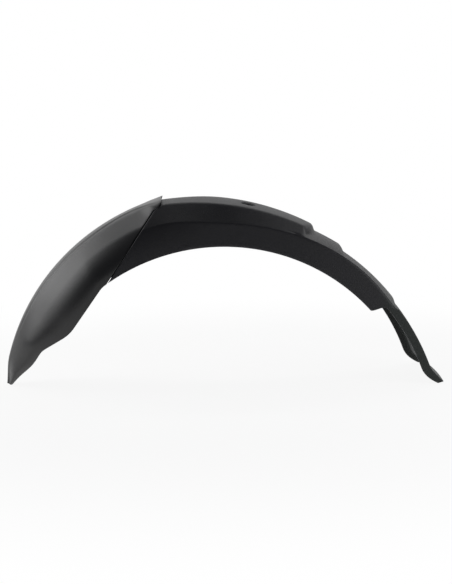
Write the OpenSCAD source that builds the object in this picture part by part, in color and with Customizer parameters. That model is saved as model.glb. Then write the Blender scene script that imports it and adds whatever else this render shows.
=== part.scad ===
// Scooter front mudguard in two mouldings: a black textured rear mudguard that arches over
// the wheel, and a painted, pointed front cover that is screwed on ahead of it.
// Every long curve is drawn about the wheel axle. Angles are measured from straight above
// the axle, negative towards the front. The finished part stands on its beak and rear lip.

/* [Wheel arch] */
// Radius of the lower edge of the side walls about the wheel axle
arch_r = 231.5; // [215:0.5:245]
// Height of the shoulder line above the lower edge
side_h = 26.5; // [24:0.5:29]
// Height of the bare crown, behind the raised section, above the shoulder line
crown_h = 5.2; // [4:0.2:7]
// Half of the width across the shoulders
half_w = 71.5; // [66:0.5:80]
// How far the side walls splay outwards down to their lower edge
draft = 1.3; // [0.4:0.1:2.5]
// How much each shoulder pulls in towards the two ends
barrel = 3.5; // [0:0.5:6]
// Wall thickness of the rear mudguard
wall = 2.8; // [2.2:0.1:3.4]

/* [Raised section] */
// Half of the width of its flat top
top_w = 53; // [46:0.5:56]
// How much the top narrows on each side towards the joint
top_taper = 6; // [0:0.5:8]
// Height of its top edge above the shoulder line, straight over the axle
top_rise = 21.5; // [18:0.5:25]
// Height of the crown above the top edge
top_crown = 4.2; // [2.5:0.1:5.5]
// Angle at which the raised section ends
raised_end = 23.8; // [21:0.2:25]
// Height of the platform behind it above the bare crown
platform_h = 4.8; // [3:0.1:5.5]
// Angle at which the platform ends
platform_end = 32.6; // [30:0.2:34]
// Height of the bead along the shoulder
bead_h = 1.3; // [0.6:0.1:1.6]
// Depth of the groove beside the bead
groove_d = 1.4; // [0.6:0.1:1.6]

/* [Rear flap] */
// Angle at which the side walls stop short
notch_angle = 48.4; // [47:0.2:49.6]
// Step down from the shoulder line to the edges of the flap
flap_step = 0.2; // [0:0.1:1.2]
// Depth of the flap's side flanges
flange_h = 10.2; // [8:0.2:12]
// Height of the crown of the flap
flap_crown = 2.6; // [1.5:0.1:3.5]
// Angle at which the lip starts to turn out
kick_angle = 69.4; // [67:0.2:70.4]
// How far the lip stands out
kick_out = 10.4; // [7:0.2:12]
// Angle of the end of the lip
lip_angle = 74.4; // [73:0.2:75]

/* [Front cover] */
// Wall thickness of the front cover
cover_wall = 2.6; // [2:0.1:3]
// How much tighter the cover's crown line curves than the raised section stands over the axle
cover_in = 14.9; // [14:0.1:16]
// Height of the centre of that crown line above the axle
cover_up = 29.1; // [28:0.1:30]
// Angle of the point of the beak
beak_angle = -77; // [-78:0.2:-75.5]
// Half of the width of the narrow top face
ridge_w = 25; // [20:0.5:30]
// How far the land that ends the top face stands past the flat top behind the joint, each side
land_out = 1; // [0:0.5:3]
// Gap between the cover and the rear mudguard
joint_gap = 1.8; // [1:0.1:2.6]
// Angle of the joint at the lower edge
joint_low = -35.1; // [-36.5:0.1:-33]
// Angle of the joint at the crown
joint_top = -13.9; // [-15:0.1:-13]
// How far the joint sweeps back at the corners of the flat top
joint_bow = 4.2; // [0:0.1:6]

/* [Fixings] */
// Distance between the two fork bolt holes, across the top
bolt_spacing = 56; // [50:1:60]
// Diameter of the fork bolt holes
bolt_hole = 6.6; // [5.4:0.2:8.4]
// Diameter of the flat recess round each bolt hole
recess_d = 18; // [15:0.5:20]
// Depth of the recess at its middle
recess_depth = 2.8; // [2.2:0.1:3.2]
// Thickness of the seat left under the recess
seat_t = 5; // [4:0.5:8]
// How far the bolt holes lie behind the axle
bolt_x = 30; // [26:0.5:34]
// Length of the tongue under the cover
tongue_len = 33; // [30:0.5:36]
// Depth of the side walls of the tongue below the cover's outer face
tongue_in = 7.5; // [6.5:0.1:9]
// Depth of the top of the tongue below the cover's crown line
tongue_drop = 15; // [13:0.5:17]
// Diameter of the screw shanks
screw_d = 3.9; // [3.5:0.1:4.2]
// Diameter of the screw heads
head_d = 7.4; // [7:0.2:8]
// Outer diameter of the washers
washer_d = 9; // [8.5:0.5:10]
// Thickness of the washers
washer_t = 1; // [0.8:0.1:1.4]

/* [Hidden] */

black = [0.09, 0.09, 0.095];
paint = [0.03, 0.03, 0.035];
zinc = [0.72, 0.73, 0.74];

// Small helpers: a point from its angle and radius, a smooth step, and a mix of two values
function at(a, r) = [r * sin(a), r * cos(a)];
function ease(a, from, to) = let (t = max(0, min(1, (a - from) / (to - from)))) t * t * (3 - 2 * t);
function mix(p, q, t) = p + (q - p) * t;
function angle_of(p) = atan2(p[0], p[1]);
// Radius at angle a of a circle about c, and of the straight line from p to q
function arc_at(a, c, r) = let (d = c * at(a, 1)) d + sqrt(r * r - c * c + d * d);
function line_at(a, p, q) = let (e = q - p, d = at(a, 1))
    (p[0] * e[1] - p[1] * e[0]) / (d[0] * e[1] - d[1] * e[0]);
// Smooth maximum and minimum, which round the corner where two lines meet
function soft_max(p, q, k) = let (h = max(k - abs(p - q), 0) / k) max(p, q) + h * h * k / 4;
function soft_min(p, q, k) = -soft_max(-p, -q, k);
function degrees_for(length, r) = length / r * 180 / PI;

// Sizes that follow from the wheel arch
shoulder_r = arch_r + side_h;
crown_r = shoulder_r + crown_h;
top_r = shoulder_r + top_rise;
flap_r = shoulder_r - flap_step;
flange_r = flap_r - flange_h;
cover_r = top_r - cover_in;
land_w = top_w - top_taper + land_out;

// Rear mudguard: its long curves, each a radius or a half width at an angle
raised_c = [-31.4, -23];
raised_r = norm(at(0, top_r) - raised_c);
lip_in = 7.5;
function is_flap(a) = ease(a, notch_angle + 2.6, notch_angle + 4.6);
function kick(a) = kick_out * pow(max(0, (a - kick_angle) / (lip_angle - kick_angle)), 1.6);
function shoulder_at(a) = mix(shoulder_r - 5 * ease(a, 34, 56), flap_r, is_flap(a)) + kick(a);
function shoulder_w(a) = half_w - barrel * pow(min(a, 56) / 50, 2);
function crease_r(a) = shoulder_at(a) + 9 * ease(a, 2, -18);
function edge_at(a) = let (up = ease(a, notch_angle - 1, notch_angle + 1.5),
                           turn = max(0, (a - kick_angle + 0.4) / (lip_angle - kick_angle + 0.4)))
    mix(arch_r, flange_r, up) + (flap_r + kick_out - lip_in - flange_r) * pow(turn, 2.2);
function top_edge(a) = arc_at(a, raised_c, raised_r);
function top_crown_at(a) = top_crown - 1.6 * ease(a, 0, -14);
function bare_crown(a) = mix(crown_r + platform_h * ease(a, platform_end + 1, platform_end - 1.2),
                             shoulder_at(a) + flap_crown, is_flap(a));
// The raised section ends on a line that curves forwards near its two top edges
function raised(a, y) = let (end = raised_end - 3 * pow(min(1, y / top_w), 3)) ease(a, end + 0.8, end - 1);
function crown_at(a) = mix(bare_crown(a), top_edge(a) + top_crown_at(a), raised(a, 0));

// A hat-shaped half section: side wall, leaning side and crowned top, each wall t inside
function hat(wa, ra, wb, rb, wc, rc, rd, t) =
    let (lean = atan2(wb - wc, rc - rb),
         b = [wb - t, rb - t * tan(lean / 2)],
         c = [wc - t * cos(lean) / (1 + sin(lean)), rc - t],
         d = rd - t,
         along = (b - c) / norm(b - c),
         a = [wa - t, ra])
    [a, mix(a, b, 0.5), b - [0, 2.5], b - along * 0.8, mix(b, c, 0.1), mix(b, c, 0.18), mix(b, c, 0.3),
     mix(b, c, 0.6), c + along * 2.6, c + [-0.3, -0.2], [c[0] - 3, mix(c[1], d, 0.1)],
     [c[0] * 0.62, mix(c[1], d, 0.62)], [c[0] * 0.31, mix(c[1], d, 0.9)], [0, d]];

// A bare half section: side wall, shoulder bead and groove, and one crowned top
function bare(wa, ra, wb, rb, rd, bead, groove, t) =
    let (w = wb - t, b = rb - t, d = rd - t, a = [wa - t, ra],
         rest = [for (k = [8, 14, 20, 27, 40, 54]) max(0, w * (1 - k / half_w))],
         f = function (y) d - (d - b) * pow(y / w, 2))
    concat([a, mix(a, [w, b], 0.5), [w, b - 2.4], [w - 0.2 + bead * 0.3, b - 0.5 + bead * 0.3],
            [w - 1.4, f(w - 1.4) + bead], [w - 3.2, f(w - 3.2) - groove], [w - 5.2, f(w - 5.2)]],
           [for (y = rest) [y, f(y)]], [[0, d]]);

function body_half(a, t) =
    let (wb = shoulder_w(a), wa = wb + draft * (shoulder_at(a) - edge_at(a)) / (shoulder_r - arch_r),
         shows = t > 0 ? 0 : ease(a, raised_end - 6, raised_end - 2) * (1 - is_flap(a)),
         tw = top_w - top_taper * ease(a, 2, -14),
         low = bare(wa, edge_at(a), wb, shoulder_at(a), bare_crown(a), bead_h * shows, groove_d * shows, t),
         high = hat(wa, edge_at(a), wb, crease_r(a), tw, top_edge(a), top_edge(a) + top_crown_at(a), t),
         foot = edge_at(a) + foot_h, head = high[9][1], wf = high[9][0])
    [for (i = [0:13])
        let (p = high[i], v = (p[1] - foot) / max(1, head - foot),
             curve = mix(wf, wa - t, full_curve(max(0, min(1, v)))),
             soft = i > 8 || v < 0 ? p : [mix(p[0], curve, turned_round(a, p[1])), p[1]])
        mix(low[i], soft, raised(a, p[0]))];

// Front cover: its lower edge is the arch, two straight runs and the chin
cover_c = [-0.5, cover_up];
skirt_top = at(-37.5, arch_r - 0.4);
skirt_corner = at(-54.3, arch_r - 11.5);
chin_corner = at(-63.1, arch_r + 5.7);
chin_end = at(-75, arch_r + 24.2);
cover_flare = 1.2;
function cover_crown(a) = arc_at(a, cover_c, cover_r) - 3 * ease(a, -70, beak_angle)
    + cover_flare * ease(a, joint_top - 5, joint_top);
function cover_edge(a) =
    let (skirt = line_at(a, skirt_top, skirt_corner), sweep = line_at(a, skirt_corner, chin_corner),
         chin = line_at(a, chin_corner, chin_end) - 2.4 * pow(sin(180 * max(0, min(1, (-a - 63) / 12))), 2))
    a > -40 ? soft_min(arch_r, skirt, 1.5)
    : a > -58 ? soft_max(skirt, sweep, 4)
    : soft_min(sweep, chin, 1.5);
function nose(a) = max(0, (joint_low - a) / (joint_low - beak_angle + 1.6));
function cover_w(a) = (shoulder_w(joint_low) + draft) * (1 - pow(nose(a), 2.5));
function cover_ridge(a) = mix(ridge_w, land_w, ease(a, joint_top - 7, joint_top - 0.4))
    * (1 - 0.92 * pow(max(0, (-a - 30) / 48), 1.6));
function is_land(a) = ease(a, joint_top - 3.4, joint_top - 0.4);
function cover_drop(a) = 1.2 + 1.8 * ease(a, -20, -34) + 4.6 * is_land(a);
function chin_h(a) = 6.5 * ease(a, -62, -68) - 2 * ease(a, -70, -76);

// How far a point of the side view lies ahead of the joint
joint_from = at(joint_low, arch_r);
joint_line = at(joint_top, cover_crown(joint_top)) - joint_from;
joint_along = joint_line / norm(joint_line);
function ahead(p) = (p - joint_from) * [-joint_along[1], joint_along[0]];
joint_r = cover_crown(joint_top);
function bow(d, y, r) = degrees_for(joint_bow * pow(min(1, y / land_w), 2), joint_r)
    * ease(r, joint_r - 12, joint_r - 5) * ease(abs(d), 40, 0);

// Sides turn from an upright wall and a leaning face into one full curve on the way past the
// joint to the beak: how far they have turned, and the curve at height v from 0 to 1
fade_back = -80;
fade_fore = 60;
foot_h = 6.5;
crease_v = 0.6;
function turned_round(a, r) = ease(ahead(at(a, r)), fade_back, fade_fore);
function full_curve(v) = pow(cos(90 * v), 0.9);
function cover_side(v, k) = mix(min(1, (1 - v) / (1 - crease_v)), full_curve(v), k);
function cover_half(a, t) =
    let (edge = cover_edge(a), deep = t > 0 ? ease(a, beak_angle + 2, beak_angle + 7) : 1,
         full = cover_w(a), we = max(full - t, full * 0.5), tuck = min(chin_h(a) * 0.55, we * 0.4),
         wf = max(cover_ridge(a) - t * 0.5, cover_ridge(a) * 0.5), top = cover_crown(a) - t,
         high = top - cover_drop(a), low = edge + min(foot_h, (high - edge) * 0.4), flat = is_land(a),
         side = [for (v = [0.12, 0.25, 0.38, 0.51, 0.64, 0.76, 0.88, 1])
             let (r = mix(low, high, v)) [mix(wf, we, cover_side(v, turned_round(a, r))), r]],
         crown = [for (u = [0.88, 0.6, 0.3, 0])
             [wf * u, mix(top, high, mix(u * u, 0.3 * u * u + 0.7 * pow(u, 12), flat))]],
         half = concat([[we - tuck, edge], [we, low]], side, crown))
    [for (i = [0:13])
        let (u = i / 13)
        mix([(we - tuck) * (1 - u), edge + 0.6 * sin(90 * u)], half[i], deep)];

// The tongue is the rear mudguard's wall carried on under the cover, with a flat roof
tongue_edge = arch_r + 3;
function tongue_half(a, t) =
    let (roof = cover_crown(a) - tongue_drop - t, half = cover_half(a, tongue_in + t))
    [for (i = [0:13]) [half[i][0], max(tongue_edge + 0.3 * i, i == 0 ? 0 : min(half[i][1], roof))]];

// A station is the plane of one section, held by its lower and its upper end
function seat(station, r) = let (p = station[0], d = station[1], k = p * d)
    angle_of(p + d * (sqrt(k * k - p * p + r * r) - k));
function station(low, high) = [low, (high - low) / norm(high - low)];
// The angle where point i of a half section meets a station: four rounds of closing in
function settle(station, half, i, t, a, rounds) =
    rounds == 0 ? a : settle(station, half, i, t, seat(station, half(a, t)[i][1]), rounds - 1);
function on_station(station, half, t, a0) =
    [for (i = [0:len(half(a0, t)) - 1])
        let (a = settle(station, half, i, t, a0, 4), p = half(a, t)[i],
             b = a + bow(ahead(at(a, p[1])), p[0], p[1]), q = half(b, t)[i], s = at(b, q[1]))
        [s[0], q[0], s[1]]];
function both_sides(half) =
    let (n = len(half)) concat([for (p = half) [p[0], -p[1], p[2]]], [for (i = [n - 2:-1:0]) half[i]]);
function ring(station, outer, inner, t, a0) =
    let (out = both_sides(on_station(station, outer, 0, a0)),
         in = both_sides(on_station(station, inner, t, a0)))
    concat(out, [for (i = [len(in) - 1:-1:0]) in[i]]);

// Stations of the rear mudguard: slanted like the joint at the front, square to the arch behind
function fan(a) = (joint_top - joint_low) * (1 - ease(a, joint_low, 14));
function body_station(a) = station(at(a, edge_at(a)), at(a + fan(a), crown_at(a + fan(a))));
function joint_station(shift) =
    let (low = joint_low + degrees_for(shift, arch_r),
         high = joint_top + degrees_for(shift, cover_crown(joint_top)))
    station(at(low, arch_r), at(high, cover_crown(high)));
body_angles = concat([for (a = [joint_low + 4.4:4.4:raised_end - 10]) a],
                     [for (a = [raised_end - 7.5:1.3:raised_end - 4.4]) a],
                     [for (i = [0:8]) raised_end - 4 + i * 0.62],
                     [raised_end + 3, platform_end - 3],
                     [for (i = [0:4]) platform_end - 1.3 + i * 0.6],
                     [for (a = [platform_end + 4.5:4.5:notch_angle - 3]) a],
                     [for (i = [0:6]) notch_angle - 1.4 + i * 0.5],
                     [for (i = [0:3]) notch_angle + 2.5 + i * 0.8],
                     [for (a = [notch_angle + 8:4:kick_angle - 1]) a],
                     [for (i = [0:7]) mix(kick_angle, lip_angle, i / 7)]);
lip_thick = 0.8;
step_lean = 0.4;
function body_end(a, t) =
    let (h = body_half(a, t), e = h[0][1],
         k = t > 0 ? mix(1, lip_thick, ease(a, lip_angle - 2.4, lip_angle)) : 1)
    [for (p = h) [p[0], mix(e, p[1], k)]];
tongue = function (a, t) tongue_half(a, t);
body = function (a, t) body_half(a, t);
lipped = function (a, t) body_end(a, t);
cover = function (a, t) cover_half(a, t);
rings_body = concat(
    [for (s = [tongue_len, tongue_len * 0.5, joint_gap * 0.5])
        ring(joint_station(-s), tongue, tongue, wall, joint_low)],
    [ring(joint_station(0), tongue, tongue, wall, joint_low)],
    [ring(joint_station(step_lean), body, tongue, wall, joint_low)],
    [ring(joint_station(wall), body, tongue, wall, joint_low)],
    [ring(joint_station(wall + step_lean), body, body, wall, joint_low)],
    [for (a = body_angles) ring(body_station(a), lipped, lipped, wall, a)]);

// Stations of the cover: square to the arch at the beak, fanning round to the slanted joint
cover_steps = 24;
function cover_ring(s) =
    let (rear = joint_station(-joint_gap), low_end = angle_of(rear[0]),
         high_end = joint_top - degrees_for(joint_gap, cover_crown(joint_top)),
         low = mix(beak_angle, low_end, s), high = low + (high_end - low_end) * ease(s, 0.3, 1),
         plane = s == 1 ? rear : station(at(low, cover_edge(low)), at(high, cover_crown(high))))
    ring(plane, cover, cover, cover_wall, low);
rings_cover = [for (i = [0:cover_steps]) cover_ring(i / cover_steps)];

// Where the part stands: its pitch and its height come from the beak and the lip
beak_low = at(beak_angle, cover_edge(beak_angle));
lip_low = at(lip_angle, edge_at(lip_angle));
pitch = atan2(lip_low[1] - beak_low[1], lip_low[0] - beak_low[0]);
function turned(p) = [p[0] * cos(pitch) + p[2] * sin(pitch), p[1], p[2] * cos(pitch) - p[0] * sin(pitch)];
all_points = [for (rings = [rings_body, rings_cover]) for (ring = rings) for (p = ring) turned(p)];
all_x = [for (p = all_points) p[0]];
shift_x = -(min(all_x) + max(all_x)) / 2;
shift_z = -min([for (p = all_points) p[2]]);
module stand() {
    translate([shift_x, 0, shift_z])
        rotate([0, pitch, 0])
            children();
}

// Closed shell through a row of rings
module shell(rings) {
    n = len(rings[0]);
    m = len(rings);
    half = n / 2;
    sides = [for (i = [0:m - 2]) for (j = [0:n - 1]) let (k = (j + 1) % n)
        for (f = [[i * n + j, (i + 1) * n + k, (i + 1) * n + j],
                  [i * n + j, i * n + k, (i + 1) * n + k]]) f];
    caps = [for (j = [0:half - 2]) let (k = n - 1 - j, e = (m - 1) * n)
        for (f = [[j, k, j + 1], [j + 1, k, k - 1],
                  [e + j, e + j + 1, e + k], [e + j + 1, e + k - 1, e + k]]) f];
    polyhedron(points = [for (r = rings) for (p = r) p], faces = concat(sides, caps), convexity = 8);
}

// Fork bolts: two upright holes side by side in the flat top
slim = 0.15;
function top_point(a, y) = let (p = at(a, crown_at(a))) [p[0], y, p[1] - top_crown * pow(y / top_w, 2)];
bolt_angle = asin(bolt_x / top_r);
bolt_fore = top_point(bolt_angle - 1, 0);
bolt_aft = top_point(bolt_angle + 1, 0);
bolt_slope = atan2(bolt_fore[2] - bolt_aft[2], bolt_aft[0] - bolt_fore[0]) + pitch;
function bolt_top(side) = turned(top_point(bolt_angle, side * bolt_spacing / 2)) + [shift_x, 0, shift_z];
seat_d = recess_d + 5;

// The boss stands square to the sloping top, the recess and the hole are upright
module bolt_seat(side) {
    translate(bolt_top(side))
        rotate([0, bolt_slope, 0])
            translate([0, 0, -recess_depth - seat_t])
                cylinder(d = seat_d, h = recess_depth + seat_t - wall / 2, $fn = 36);
}

module bolt_hole_cut(side) {
    translate(bolt_top(side)) {
        translate([0, 0, -recess_depth])
            cylinder(d = recess_d, h = 3 * recess_depth, $fn = 36);
        cylinder(d = bolt_hole, h = 4 * seat_t, center = true, $fn = 32);
        translate([0, 0, -recess_depth - seat_t - seat_d])
            cylinder(d = seat_d + 3, h = seat_d, $fn = 36);
    }
}

// Cover screws: an upper pair square to the tongue's roof and a lower pair through its sides
pad_t = 1.2;
pad_d = washer_d + 1.6;
boss_d = 9;
upper_y = 18;
upper_angle = angle_of(at(joint_top - 8.2, cover_crown(joint_top - 8.2)) - cover_c);
lower_angle = joint_low + 3;
lower_r = arch_r + 14;
upper_reach = tongue_drop - cover_wall - 2.5;
lower_reach = tongue_in - cover_wall - 0.9;
lower_half = cover_half(lower_angle, tongue_in);
function tongue_w(r) = lookup(r, [for (k = [1:9]) [lower_half[k][1], lower_half[k][0]]]);
lower_w = tongue_w(lower_r);
lower_lean = atan2(tongue_w(lower_r - 4) - tongue_w(lower_r + 4), 8);

// Frame of a screw, with its origin on the tongue's outer face and +Z out towards the cover
module upper_place(side) {
    stand()
        translate([cover_c[0], side * upper_y, cover_c[1]])
            rotate([0, upper_angle, 0])
                translate([0, 0, cover_r - tongue_drop])
                    children();
}
module lower_place(side) {
    stand()
        rotate([0, lower_angle, 0])
            translate([0, side * lower_w, lower_r])
                rotate([-side * (90 - lower_lean), 0, 0])
                    children();
}

module tongue_pad() {
    translate([0, 0, -wall - pad_t])
        cylinder(d = pad_d, h = pad_t + wall / 2, $fn = 24);
}
module tongue_hole() {
    translate([0, 0, -wall - 3 * pad_t])
        cylinder(d = screw_d + 0.6, h = 2 * wall + 4 * pad_t, $fn = 24);
}
module cover_boss(depth) {
    translate([0, 0, slim])
        cylinder(d = boss_d, h = depth - cover_wall * 0.6 - slim, $fn = 32);
}
module pilot_hole(reach) {
    translate([0, 0, -1])
        cylinder(d = screw_d + 0.1, h = reach + 1.5, $fn = 24);
}
module washer() {
    color(zinc)
        translate([0, 0, -wall - pad_t - washer_t - slim / 3])
            difference() {
                cylinder(d = washer_d, h = washer_t, $fn = 24);
                translate([0, 0, -1])
                    cylinder(d = screw_d + 0.5, h = washer_t + 2, $fn = 24);
            }
}
module screw(reach) {
    head_h = head_d * 0.32;
    under = wall + pad_t + washer_t + slim * 2 / 3;
    color(zinc)
        translate([0, 0, -under])
            difference() {
                rotate_extrude($fn = 24)
                    polygon([[0, -head_h], [head_d * 0.3, -head_h], [head_d * 0.45, -head_h * 0.75],
                             [head_d / 2, -head_h * 0.3], [head_d / 2, 0], [screw_d / 2, 0],
                             [screw_d / 2, under + reach - 1.2], [screw_d * 0.2, under + reach],
                             [0, under + reach]]);
                for (turn = [0, 90])
                    rotate([0, 0, turn])
                        translate([-head_d * 0.28, -0.5, -head_h - 1])
                            cube([head_d * 0.56, 1, head_h * 0.6 + 1]);
            }
}

module rear_mudguard() {
    color(black)
        difference() {
            union() {
                stand()
                    shell(rings_body);
                for (side = [-1, 1]) {
                    bolt_seat(side);
                    upper_place(side)
                        tongue_pad();
                    lower_place(side)
                        tongue_pad();
                }
            }
            for (side = [-1, 1]) {
                bolt_hole_cut(side);
                upper_place(side)
                    tongue_hole();
                lower_place(side)
                    tongue_hole();
            }
        }
}

module front_cover() {
    color(paint)
        difference() {
            union() {
                stand()
                    shell(rings_cover);
                for (side = [-1, 1]) {
                    upper_place(side)
                        cover_boss(tongue_drop);
                    lower_place(side)
                        cover_boss(tongue_in);
                }
            }
            for (side = [-1, 1]) {
                upper_place(side)
                    pilot_hole(upper_reach);
                lower_place(side)
                    pilot_hole(lower_reach);
            }
        }
}

module upper_screw(side) {
    upper_place(side)
        screw(upper_reach);
}
module lower_screw(side) {
    lower_place(side)
        screw(lower_reach);
}
module upper_washer(side) {
    upper_place(side)
        washer();
}
module lower_washer(side) {
    lower_place(side)
        washer();
}

rear_mudguard();
front_cover();
upper_screw(-1);  // upper_left_screw
upper_screw(1);  // upper_right_screw
lower_screw(-1);  // lower_left_screw
lower_screw(1);  // lower_right_screw
upper_washer(-1);  // upper_left_washer
upper_washer(1);  // upper_right_washer
lower_washer(-1);  // lower_left_washer
lower_washer(1);  // lower_right_washer
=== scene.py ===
"""Scooter front mudguard: the finished look of both mouldings, their screws and the studio.

The mouldings are lofted from the same long curves as the solid model. Every curve is a radius
or a half width at an angle about the wheel axle, in millimetres and degrees, with angles
measured from straight above the axle and negative towards the beak. y is across the wheel.
"""

import math

import bmesh
import bpy
import numpy as np
from bpy.props import FloatProperty, FloatVectorProperty, PointerProperty
from mathutils import Matrix, Vector


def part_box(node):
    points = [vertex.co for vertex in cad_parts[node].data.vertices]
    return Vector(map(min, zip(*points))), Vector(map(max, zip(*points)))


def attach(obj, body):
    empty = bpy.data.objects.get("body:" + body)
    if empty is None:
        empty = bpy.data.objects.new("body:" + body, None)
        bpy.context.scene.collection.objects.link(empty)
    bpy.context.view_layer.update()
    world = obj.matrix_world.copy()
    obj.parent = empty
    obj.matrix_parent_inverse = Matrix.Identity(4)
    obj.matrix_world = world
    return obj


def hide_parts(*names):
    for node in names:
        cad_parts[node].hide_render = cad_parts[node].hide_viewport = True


bl_info = {
    "name": "Scooter Front Mudguard",
    "version": (1, 0, 0),
    "blender": (4, 5, 0),
    "location": "View3D > Sidebar > Mudguard",
    "description": "Builds a two-piece scooter front mudguard with its fixings and a studio",
    "category": "Add Mesh",
}

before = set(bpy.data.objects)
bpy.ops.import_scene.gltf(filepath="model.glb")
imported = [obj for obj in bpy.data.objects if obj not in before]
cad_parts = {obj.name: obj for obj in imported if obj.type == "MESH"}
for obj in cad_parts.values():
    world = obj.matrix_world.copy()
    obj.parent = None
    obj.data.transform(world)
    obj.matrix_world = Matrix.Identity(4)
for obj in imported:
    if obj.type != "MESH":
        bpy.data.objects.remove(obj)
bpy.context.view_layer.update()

MM = 0.001

# Wheel arch, raised section and flap: the driving sizes of the rear mudguard
ARCH_R = 231.5
SIDE_H = 26.5
SHOULDER_R = ARCH_R + SIDE_H
CROWN_H = 5.2
CROWN_R = SHOULDER_R + CROWN_H
HALF_W = 71.5
DRAFT = 1.3
BARREL = 3.5
WALL = 2.8
TOP_W = 53.0
TOP_TAPER = 6.0
TOP_RISE = 21.5
TOP_CROWN = 4.2
RAISED_END = 23.8
PLATFORM_H = 4.8
PLATFORM_END = 32.6
BEAD_H = 1.3
GROOVE_D = 1.4
NOTCH_ANGLE = 48.4
FLAP_STEP = 0.2
FLAP_R = SHOULDER_R - FLAP_STEP
FLANGE_H = 10.2
FLANGE_R = FLAP_R - FLANGE_H
FLAP_CROWN = 2.6
KICK_ANGLE = 69.4
KICK_OUT = 10.4
LIP_ANGLE = 74.4
LIP_H = 7.5

# Front cover and the joint
COVER_WALL = 2.6
COVER_IN = 14.9
COVER_R = SHOULDER_R + TOP_RISE - COVER_IN
COVER_UP = 29.1
COVER_C = (-0.5, COVER_UP)
COVER_FLARE = 1.2
BEAK_ANGLE = -77.0
RIDGE_W = 25.0
LAND_OUT = 1.0
LAND_W = TOP_W - TOP_TAPER + LAND_OUT
JOINT_GAP = 1.8
JOINT_LOW = -35.1
JOINT_TOP = -13.9
JOINT_BOW = 4.2
FADE = (-80.0, 60.0)
FOOT_H = 6.5
CREASE_V = 0.6

# Fixings
BOLT_SPACING = 56.0
BOLT_HOLE = 6.6
RECESS_D = 18.0
RECESS_DEPTH = 2.8
SEAT_T = 5.0
BOLT_X = 30.0
TONGUE_LEN = 33.0
TONGUE_IN = 7.5
TONGUE_DROP = 15.0
TONGUE_EDGE = ARCH_R + 3
SCREW_D = 3.9
HEAD_D = 7.4
WASHER_D = 9.0
WASHER_T = 1.0
PAD_T = 1.2
BOSS_D = 9.0
UPPER_Y = 18.0

# Details of the rear mudguard: lengths, and pairs of angles that a change eases between
SHOULDER_DROP, SHOULDER_EASE = 5.0, (34, 56)
BARREL_SPAN, BARREL_END = 50, 56
CREASE_LIFT, CREASE_EASE = 9.0, (2, -18)
TAPER_EASE = (2, -14)
CROWN_LOSS, CROWN_EASE = 1.6, (0, -14)
NOTCH_EASE = (NOTCH_ANGLE - 1, NOTCH_ANGLE + 1.5)
FLAP_EASE = (NOTCH_ANGLE + 2.6, NOTCH_ANGLE + 4.6)
KICK_POWER, LIP_POWER, LIP_LEAD = 1.6, 2.2, 0.4
RAISED_CURVE, RAISED_EASE = 3.0, (0.8, -1.0)
PLATFORM_EASE = (PLATFORM_END + 1.0, PLATFORM_END - 1.2)
BEAD_EASE = (RAISED_END - 7.5, RAISED_END - 2.5)
BEAD_IN, BEAD_W = 1.5, 0.95
GROOVE_IN, GROOVE_W = 3.9, 0.8

# Details of the front cover
FLARE_SPAN = 5.0
BEAK_DIP, DIP_FROM = 3.0, -70.0
CHIN_BOW, CHIN_BOW_FROM, CHIN_BOW_SPAN = 2.4, 63.0, 12.0
NOSE_PAST, NOSE_POWER = 1.6, 2.5
RIDGE_EASE = (JOINT_TOP - 7, JOINT_TOP - 0.4)
LAND_EASE = (JOINT_TOP - 3.4, JOINT_TOP - 0.4)
CURVE_POWER = 1.7
CREASE_LINE_D, CREASE_LINE_W = 0.9, 1.3

# Mesh resolution: samples along a half contour, reach of the close ones, smoothing, rounding
WALL_SAMPLES = (7, 6, 22, 10, 5, 5, 12)
BARE_SHARES = (0.8, 0.735, 0.66)
BY_CORNER, BY_SHOULDER, SHORT_WALL = 5, 7, 11
SAMPLES, TO_CROWN, TO_TOP = sum(WALL_SAMPLES), sum(WALL_SAMPLES[:2]), sum(WALL_SAMPLES[:5])
SIDE_SAMPLES = 44
TOP_SAMPLES = 17
BODY_PASSES, CRISP_PASSES, SOFT_PASSES = 5, 2, 24
EDGE_ROUND = 0.7
ROUND_STEPS = 3
DENSE_STEP = 0.2


def ease(a, start, stop):
    """0 at start and 1 at stop, smoothly between."""
    t = np.clip((a - start) / (stop - start), 0.0, 1.0)
    return t * t * (3 - 2 * t)


def mix(p, q, t):
    """p at 0, q at 1."""
    return p + (q - p) * t


def pair(p, q):
    """Points of two coordinates."""
    return np.stack([p, q], -1)


def polar(a, r):
    """Point of the side view at an angle and a radius."""
    rad = np.radians(a)
    return pair(r * np.sin(rad), r * np.cos(rad))


def arc_at(a, centre, radius):
    """Radius at angle a of a circle about a centre off the axle."""
    d = centre[0] * np.sin(np.radians(a)) + centre[1] * np.cos(np.radians(a))
    return d + np.sqrt(radius**2 - centre[0] ** 2 - centre[1] ** 2 + d * d)


def line_at(a, p, q):
    """Radius at angle a of the straight line from p to q."""
    ex, ez = q[0] - p[0], q[1] - p[1]
    sx, sz = np.sin(np.radians(a)), np.cos(np.radians(a))
    return (p[0] * ez - p[1] * ex) / (sx * ez - sz * ex)


def soft_max(p, q, k):
    """The larger of two curves, with the corner between them rounded over k."""
    h = np.maximum(k - np.abs(p - q), 0) / k
    return np.maximum(p, q) + h * h * k / 4


def soft_min(p, q, k):
    return -soft_max(-p, -q, k)


def towards(p, q, least=0.0):
    """Unit vectors from p to q, shorter where these are closer than least."""
    return (q - p) / np.maximum(least, np.linalg.norm(q - p, axis=1))[:, None]


# ---- curves of the rear mudguard
RAISED_C = (-31.4, -23.0)
RAISED_R = math.hypot(RAISED_C[0], SHOULDER_R + TOP_RISE - RAISED_C[1])


def is_flap(a):
    return ease(a, *FLAP_EASE)


def kick(a):
    """How far the end of the flap turns out."""
    return KICK_OUT * np.maximum(0, (a - KICK_ANGLE) / (LIP_ANGLE - KICK_ANGLE)) ** KICK_POWER


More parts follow.
